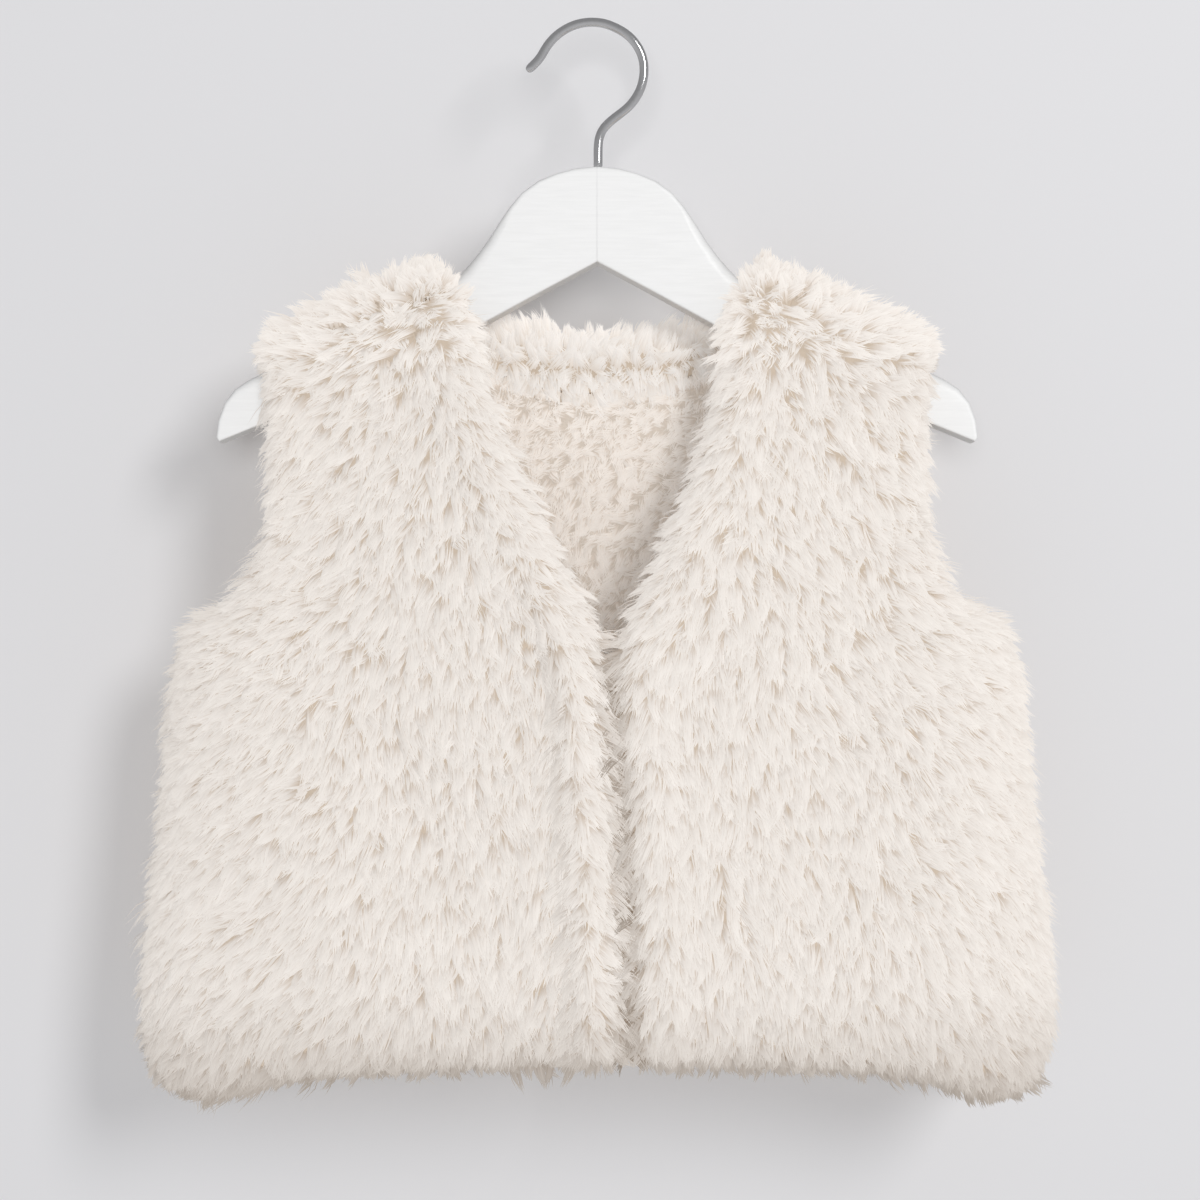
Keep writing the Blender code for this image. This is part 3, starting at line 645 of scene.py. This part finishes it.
def make_fur(coat, materials):
    """The long fur on the outside of every piece of the coat."""
    made = {}
    for number, values in enumerate(FUR):
        row = dict(zip(FUR_COLUMNS, values))
        node = row["node"]
        rng = np.random.default_rng(FUR_SEED + number)
        points, normals = scattered(coat, number, row["spacing_mm"] * MM, rng)
        if node != "back_neck_band":
            outside = outwardness(points, normals) > INSIDE_BELOW
            points, normals = points[outside], normals[outside]
        count = len(points)
        nap, lift = coat_nap(node, points, normals, rng)
        standing = row["standing_mm"] * MM * rng.uniform(*STANDING_SPREAD, count)
        standing += EDGE_STANDING * turned_aside(normals) * rng.uniform(*EDGE_SPREAD, count)
        high = (points[:, 2] > SHOULDER_FROM_Z) & (normals[:, 1] < BIAS_FROM)
        standing[high] = SHOULDER_STANDING * rng.uniform(*SHOULDER_SPREAD, high.sum())
        lift[high] += SHOULDER_LIFT
        shading = front_bias(normals, node in FRONT_NODES)
        shading[high] *= SHOULDER_SHADING
        clear = openness(points, normals, coat.tree)
        lift += CLOSED_LIFT * (1 - clear)
        depth = FUR_DEPTH * clear[:, None]
        # Painted shade: the tone is darker where other cloth closes in, towards the hem and on faces
        # that turn down.
        low = np.clip((HEM_FROM_Z - points[:, 2]) / HEM_SPAN, 0, 1)
        tone = OPEN_TONE - CLOSED_PAINTED_SHADE * np.clip(CLOSED_FROM - clear, 0, 1) - HEM_PAINTED_SHADE * low
        tone -= UNDER_PAINTED_SHADE * np.clip(-normals[:, 2], 0, 1)
        # Painted light: the tone is lighter on the shoulders, which face up.
        tone[high] += SHOULDER_PAINTED_LIGHT
        share = np.where(points[:, 2] > PEAK_FROM_Z, PEAK_SHARE, 1.0)
        if node == "back_neck_band":
            inside, falling = part_neck(points, normals, nap, lift, rng)
            standing[inside] = NECK_STANDING * rng.uniform(*NECK_STANDING_SPREAD, inside.sum())
            standing[falling] = NECK_FALL_STANDING
            share[falling] = NECK_FALL_SHARE * rng.uniform(*NECK_FALL_SPREAD, falling.sum())
            depth[inside] = NECK_INSIDE_DEPTH
            tone[inside] = OPEN_TONE
            shading[inside] = normals[inside] * NECK_SHADING
            shading[inside, 1] -= 1 - NECK_SHADING
        locks = grow(points, normals, nap, row, depth, lift, rng, coat.tree, standing, shading,
                     share, tone)
        material = materials.get(node, materials["coat"])
        made[node] = ribbons(f"{node}_fur", strands_of(locks, row, rng), material)
    return made


def make_inside_pile(coat, lining_tree, material):
    """Short pile on the insides of the walls, where the lining sheet doesn't cover them."""
    made = {}
    for number, node in enumerate(PILED_NODES):
        rng = np.random.default_rng(INSIDE_SEED + number)
        points, normals = scattered(coat, number, INSIDE_PILE["spacing_mm"] * MM, rng)
        inside = outwardness(points, normals) <= INSIDE_BELOW
        covered = np.array([
            lining_tree.ray_cast(Vector(point), Vector(normal), COVERED_REACH)[0] is not None
            for point, normal in zip(points, normals)])
        kept = inside & ~covered
        points, normals = points[kept], normals[kept]
        nap = leaning(sides_of(node, points), rng.normal(0, PILE_LEAN_SPREAD, len(points)))
        standing = np.full(len(points), INSIDE_PILE["standing_mm"] * MM)
        locks = grow(points, normals, nap, INSIDE_PILE, PILE_DEPTH, PILE_LIFT, rng, coat.tree, standing,
                     normals)
        strands = strands_of(locks, INSIDE_PILE, rng)
        made[node] = ribbons(f"{node}_pile", strands, material)
    return made


def make_lining_pile(lining, material):
    """Matted pile on the lining's face and edges."""
    rng = np.random.default_rng(LINING_SEED)
    points, normals = scattered(lining, 0, LINING_PILE["spacing_mm"] * MM, rng)
    shown = (np.abs(points[:, 0]) < LINING_SHOWN_X) & (points[:, 2] > LINING_SHOWN_Z)
    shown |= rng.random(len(points)) < LINING_HIDDEN_SHARE
    kept = shown & (normals[:, 1] < LINING_FACE_NORMAL)
    points, normals = points[kept], normals[kept]
    top = points[:, 2] > LINING_TOP_Z
    lean = LINING_LEAN + LINING_DRIFT * drift(points, LINING_DRIFT_LENGTH, rng)
    lean = np.where(top, LINING_TOP_LEAN, lean) + rng.normal(0, PILE_LEAN_SPREAD, len(points))
    nap = leaning(1.0, lean)
    standing = np.where(top, LINING_TOP_STANDING, LINING_PILE["standing_mm"] * MM)
    standing = standing * rng.uniform(*LINING_STANDING_SPREAD, len(points))
    shading = front_bias(normals, True)
    locks = grow(points, normals, nap, LINING_PILE, PILE_DEPTH, PILE_LIFT, rng, lining.tree, standing,
                 shading)
    return ribbons("back_lining_pile", strands_of(locks, LINING_PILE, rng), material)


def copy_of(node):
    """A CAD node's own mesh to work on, with its points joined."""
    mesh = bmesh.new()
    mesh.from_mesh(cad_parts[node].data)
    bmesh.ops.remove_doubles(mesh, verts=mesh.verts, dist=POINT_WELD)
    return mesh


def weighted_normals(mesh):
    """A normal for each corner: large flat faces stay flat and the rounded edges run into them."""
    mesh.normal_update()
    least = math.cos(math.radians(SMOOTH_ANGLE))
    corners = []
    for face in mesh.faces:
        for loop in face.loops:
            near = [other for other in loop.vert.link_faces if other.normal.dot(face.normal) > least]
            total = sum((other.normal * other.calc_area() for other in near), Vector())
            corners.append(total.normalized())
    return corners


def replacement(name, node, mesh, material, weighted):
    """A smooth piece that stands for a CAD node. Frees the mesh that it is made from."""
    data = bpy.data.meshes.new(name)
    mesh.to_mesh(data)
    data.shade_smooth()
    if weighted:
        data.normals_split_custom_set(weighted_normals(mesh))
    mesh.free()
    data.materials.clear()
    data.materials.append(material)
    piece = linked(name, data)
    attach(piece, "root")
    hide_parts(node)
    return piece


def make_cloth(node, surface, material):
    """The cloth of one piece: its solid's form, drawn in under the fur."""
    mesh = copy_of(node)
    near = near_of(surface.points)
    out = outwardness(surface.points, surface.normals)
    furred = np.clip((out - INSIDE_BELOW) / OUTSIDE_SPAN, 0.0, 1.0)
    if node == "back_lining":
        furred[:] = 0.0
    if node == "back_neck_band":
        furred[:] = 1.0
    depth = CLOTH_INSIDE_DEPTH + (CLOTH_DEPTH - CLOTH_INSIDE_DEPTH) * furred * surface.clear
    for vertex in mesh.verts:
        _, index, far = near.find(vertex.co)
        if far < SEAM_WELD * 2:
            vertex.co -= Vector(surface.normals[index]) * depth[index]
    return replacement(f"{node}_cloth", node, mesh, material, True)


def make_hanger(paint, wire):
    """Paint and plating on the hanger's own solids, rounded and smoothed in copies of them."""
    for node in HANGER_NODES:
        mesh = copy_of(node)
        if node == "hanger_hook":
            bmesh.ops.join_triangles(mesh, faces=mesh.faces,
                                     angle_face_threshold=math.radians(WIRE_FACE_ANGLE),
                                     angle_shape_threshold=math.radians(WIRE_SHAPE_ANGLE))
            hook = replacement(f"{node}_finish", node, mesh, wire, False)
            rounding = hook.modifiers.new("rounding", "SUBSURF")
            rounding.levels = WIRE_ROUNDING
            rounding.render_levels = WIRE_ROUNDING
            continue
        for vertex in mesh.verts:
            if abs(vertex.co.x) < JOINT_HALF:
                vertex.co.x *= JOINT_CLOSED
        replacement(f"{node}_finish", node, mesh, paint, True)


def new_material(name):
    material = bpy.data.materials.new(name)
    material.use_nodes = True
    return material, material.node_tree, material.node_tree.nodes["Principled BSDF"]


def new_node(tree, kind, **values):
    """A new node with some of its inputs set. An input's name has _ for each space."""
    node = tree.nodes.new(kind)
    for name, value in values.items():
        node.inputs[name.replace("_", " ")].default_value = value
    return node


def new_mix(tree, factor, low, high, blend="MIX"):
    """A mix of two colours, each of them a socket or a plain colour, and its result."""
    mix = tree.nodes.new("ShaderNodeMix")
    mix.data_type = "RGBA"
    mix.blend_type = blend
    for name, value in (("Factor", factor), ("A", low), ("B", high)):
        if isinstance(value, bpy.types.NodeSocket):
            tree.links.new(value, mix.inputs[name])
        else:
            mix.inputs[name].default_value = value
    return mix.outputs["Result"]


def new_noise(tree, place, **values):
    """Noise at a place of the object."""
    noise = new_node(tree, "ShaderNodeTexNoise", **values)
    tree.links.new(place, noise.inputs["Vector"])
    return noise.outputs["Fac"]


def new_range(tree, value, **values):
    """A value brought from one range to another."""
    scaled = new_node(tree, "ShaderNodeMapRange", **values)
    tree.links.new(value, scaled.inputs["Value"])
    return scaled.outputs["Result"]


def new_ramp(tree, value, low, high, places=(0.0, 1.0)):
    """A colour between two, by a value."""
    ramp = tree.nodes.new("ShaderNodeValToRGB")
    for stop, place, colour in zip(ramp.color_ramp.elements, places, (low, high)):
        stop.position = place
        stop.color = (*colour, 1)
    tree.links.new(value, ramp.inputs["Fac"])
    return ramp.outputs["Color"]


def add_bump(tree, shader, height, strength, distance):
    """A fine relief on a shader."""
    bump = new_node(tree, "ShaderNodeBump", Strength=strength, Distance=distance)
    tree.links.new(height, bump.inputs["Height"])
    tree.links.new(bump.outputs["Normal"], shader.inputs["Normal"])


def root_to_tip_group():
    """Colour along a strand, from root to tip, with a tone for each strand, its own and painted shade
    and light, which multiplies it by a colour between SHADE and LIGHT.
    """
    group = bpy.data.node_groups.new("root_to_tip", "ShaderNodeTree")
    for name in ("Root", "Middle", "Tip"):
        group.interface.new_socket(name, in_out="INPUT", socket_type="NodeSocketColor")
    group.interface.new_socket("Colour", in_out="OUTPUT", socket_type="NodeSocketColor")
    given = group.nodes.new("NodeGroupInput").outputs
    made = group.nodes.new("NodeGroupOutput")
    mapped = group.nodes.new("ShaderNodeUVMap")
    mapped.uv_map = "OFBake"
    parts = group.nodes.new("ShaderNodeSeparateXYZ")
    group.links.new(mapped.outputs["UV"], parts.inputs[0])
    tone, along = parts.outputs["X"], parts.outputs["Y"]
    low = new_range(group, along, From_Max=MIDDLE_FULL)
    high = new_range(group, along, From_Min=TIP_FROM, From_Max=TIP_FULL)
    lower = new_mix(group, low, given["Root"], given["Middle"])
    whole = new_mix(group, high, lower, given["Tip"])
    lit = new_mix(group, tone, (*SHADE, 1), (*LIGHT, 1))
    toned = new_mix(group, 1.0, whole, lit, "MULTIPLY")
    group.links.new(toned, made.inputs["Colour"])
    return group


def fur_material(name, group):
    """Strands of one colour from root to tip, matt with a soft sheen."""
    material, tree, shader = new_material(name)
    root, middle, tip = ((*colour, 1) for colour in STRAND_COLOURS[name])
    placed = tree.nodes.new("ShaderNodeGroup")
    placed.node_tree = group
    placed.inputs["Root"].default_value = root
    placed.inputs["Middle"].default_value = middle
    placed.inputs["Tip"].default_value = tip
    tree.links.new(placed.outputs["Colour"], shader.inputs["Base Color"])
    shader.inputs["Roughness"].default_value = 0.62
    shader.inputs["Specular IOR Level"].default_value = 0.25
    return material


def cloth_material(name, colour):
    """Dense backing at the roots, deeper coloured partly with painted shade: mottled, with a fine
    fibrous bump.
    """
    material, tree, shader = new_material(name)
    place = tree.nodes.new("ShaderNodeTexCoord").outputs["Object"]
    mottle = new_noise(tree, place, Scale=260.0, Detail=4.0)
    deep = [value * 0.82 for value in colour]
    pale = [min(value * 1.1, 0.95) for value in colour]
    tree.links.new(new_ramp(tree, mottle, deep, pale), shader.inputs["Base Color"])
    fibres = new_noise(tree, place, Scale=1400.0, Detail=3.0)
    add_bump(tree, shader, fibres, 0.6, 0.4 * MM)
    shader.inputs["Roughness"].default_value = 0.9
    shader.inputs["Specular IOR Level"].default_value = 0.1
    return material


def paint_material():
    """White satin paint on wood: faint brushed grain along each arm."""
    material, tree, shader = new_material("white_paint_on_wood")
    links = tree.links
    place = tree.nodes.new("ShaderNodeTexCoord")
    parts = tree.nodes.new("ShaderNodeSeparateXYZ")
    links.new(place.outputs["Object"], parts.inputs[0])
    side = tree.nodes.new("ShaderNodeMath")
    side.operation = "ABSOLUTE"
    links.new(parts.outputs["X"], side.inputs[0])
    folded = tree.nodes.new("ShaderNodeCombineXYZ")
    links.new(side.outputs[0], folded.inputs["X"])
    links.new(parts.outputs["Y"], folded.inputs["Y"])
    links.new(parts.outputs["Z"], folded.inputs["Z"])
    along = new_node(tree, "ShaderNodeMapping", Rotation=(0.0, math.radians(-24.0), 0.0),
                     Scale=(1.0, 14.0, 14.0))
    links.new(folded.outputs[0], along.inputs["Vector"])
    grain = new_noise(tree, along.outputs["Vector"], Scale=75.0, Detail=6.0, Roughness=0.6)
    tint = new_ramp(tree, grain, (0.88, 0.88, 0.875), (0.92, 0.92, 0.915), (0.3, 0.62))
    links.new(tint, shader.inputs["Base Color"])
    links.new(new_range(tree, grain, To_Min=0.5, To_Max=0.36), shader.inputs["Roughness"])
    add_bump(tree, shader, grain, 0.22, 0.12 * MM)
    return material


def wire_material():
    """Bright plated wire with faint drawn scratches."""
    material, tree, shader = new_material("bright_plated_wire")
    place = tree.nodes.new("ShaderNodeTexCoord").outputs["Object"]
    scratch = new_noise(tree, place, Scale=900.0, Detail=3.0)
    rough = new_range(tree, scratch, To_Min=0.10, To_Max=0.20)
    tree.links.new(rough, shader.inputs["Roughness"])
    tint = new_ramp(tree, scratch, (0.66, 0.66, 0.67), (0.76, 0.76, 0.77))
    tree.links.new(tint, shader.inputs["Base Color"])
    shader.inputs["Metallic"].default_value = 1.0
    return material


def make_wall():
    """A plain pale wall. From behind it is clear, so that the garment's back can be looked at."""
    mesh = bmesh.new()
    bmesh.ops.create_grid(mesh, x_segments=1, y_segments=1, size=WALL_SIZE / 2)
    upright = Matrix.Rotation(math.radians(90.0), 3, "X")
    bmesh.ops.rotate(mesh, cent=(0, 0, 0), matrix=upright, verts=mesh.verts)
    bmesh.ops.translate(mesh, vec=(0, WALL_Y, CAMERA_PLACE[2]), verts=mesh.verts)
    data = bpy.data.meshes.new("wall")
    mesh.to_mesh(data)
    mesh.free()
    material, tree, shader = new_material("wall_paint")
    shader.inputs["Base Color"].default_value = WALL_COLOUR
    shader.inputs["Roughness"].default_value = 0.95
    shader.inputs["Specular IOR Level"].default_value = 0.0
    nodes, links = tree.nodes, tree.links
    clear = nodes.new("ShaderNodeBsdfTransparent")
    seen = nodes.new("ShaderNodeLightPath")
    behind = nodes.new("ShaderNodeNewGeometry")
    front = nodes.new("ShaderNodeMath")
    front.operation = "SUBTRACT"
    front.use_clamp = True
    links.new(seen.outputs["Is Camera Ray"], front.inputs[0])
    links.new(behind.outputs["Backfacing"], front.inputs[1])
    mix = nodes.new("ShaderNodeMixShader")
    links.new(front.outputs[0], mix.inputs["Fac"])
    links.new(clear.outputs[0], mix.inputs[1])
    links.new(shader.outputs[0], mix.inputs[2])
    links.new(mix.outputs[0], nodes["Material Output"].inputs["Surface"])
    data.materials.append(material)
    linked("wall", data)


def make_lights():
    """Round soft lights. Those that aren't mirrored don't show in the bright wire."""
    for values in LIGHTS:
        row = dict(zip(LIGHT_COLUMNS, values))
        data = bpy.data.lights.new(row["name"], "AREA")
        data.shape = "ELLIPSE"
        data.size, data.size_y = row["size"]
        data.energy = row["power"]
        light = linked(row["name"], data)
        light.location = row["place"]
        way = Vector(LIGHT_AIM) - Vector(row["place"])
        light.rotation_euler = way.to_track_quat("-Z", "Y").to_euler()
        light.visible_glossy = row["mirrored"]


def make_world():
    """Pale light from all round, stronger from below."""
    world = bpy.data.worlds.new("studio")
    world.use_nodes = True
    tree = world.node_tree
    background = tree.nodes["Background"]
    background.inputs["Color"].default_value = WORLD_COLOUR
    way = tree.nodes.new("ShaderNodeTexCoord")
    parts = tree.nodes.new("ShaderNodeSeparateXYZ")
    tree.links.new(way.outputs["Generated"], parts.inputs[0])
    strength = new_range(tree, parts.outputs["Z"], From_Min=-WORLD_SPAN, From_Max=WORLD_SPAN,
                         To_Min=WORLD_BELOW, To_Max=WORLD_ABOVE)
    tree.links.new(strength, background.inputs["Strength"])
    bpy.context.scene.world = world


def make_camera():
    data = bpy.data.cameras.new("camera")
    data.sensor_width = SENSOR_MM
    data.lens = SENSOR_MM * -CAMERA_PLACE[1] / FIELD_AT_ORIGIN
    camera = linked("camera", data)
    camera.location = CAMERA_PLACE
    camera.rotation_euler = (math.pi / 2, 0.0, 0.0)
    bpy.context.scene.camera = camera


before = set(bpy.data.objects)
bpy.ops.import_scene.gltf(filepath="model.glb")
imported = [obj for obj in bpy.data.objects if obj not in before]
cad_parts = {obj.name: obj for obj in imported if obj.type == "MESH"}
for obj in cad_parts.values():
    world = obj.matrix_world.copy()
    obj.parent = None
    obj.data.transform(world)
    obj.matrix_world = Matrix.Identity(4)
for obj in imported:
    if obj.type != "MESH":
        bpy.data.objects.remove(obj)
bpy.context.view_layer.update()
bpy.context.scene.view_settings.view_transform = "Standard"
make_camera()
make_world()
make_lights()
make_wall()
strand_group = root_to_tip_group()
ivory, ivory_with_painted_light, beige = (fur_material(name, strand_group) for name in STRAND_COLOURS)
backing = cloth_material("ivory_backing", IVORY_BACKING_AND_SHADE)
matted = cloth_material("beige_backing", BEIGE_BACKING_AND_SHADE)
coat_surface = welded(free_triangles([triangles_of(node) for node in COAT_NODES]))
lining_surface = welded([triangles_of("back_lining")])
fur = make_fur(coat_surface, {"coat": ivory, "back_neck_band": ivory_with_painted_light})
inside_pile = make_inside_pile(coat_surface, lining_surface.tree, beige)
lining_pile = make_lining_pile(lining_surface, beige)
for coat_node in COAT_NODES:
    cloth = make_cloth(coat_node, coat_surface, backing)
lining_cloth = make_cloth("back_lining", lining_surface, matted)
make_hanger(paint_material(), wire_material())
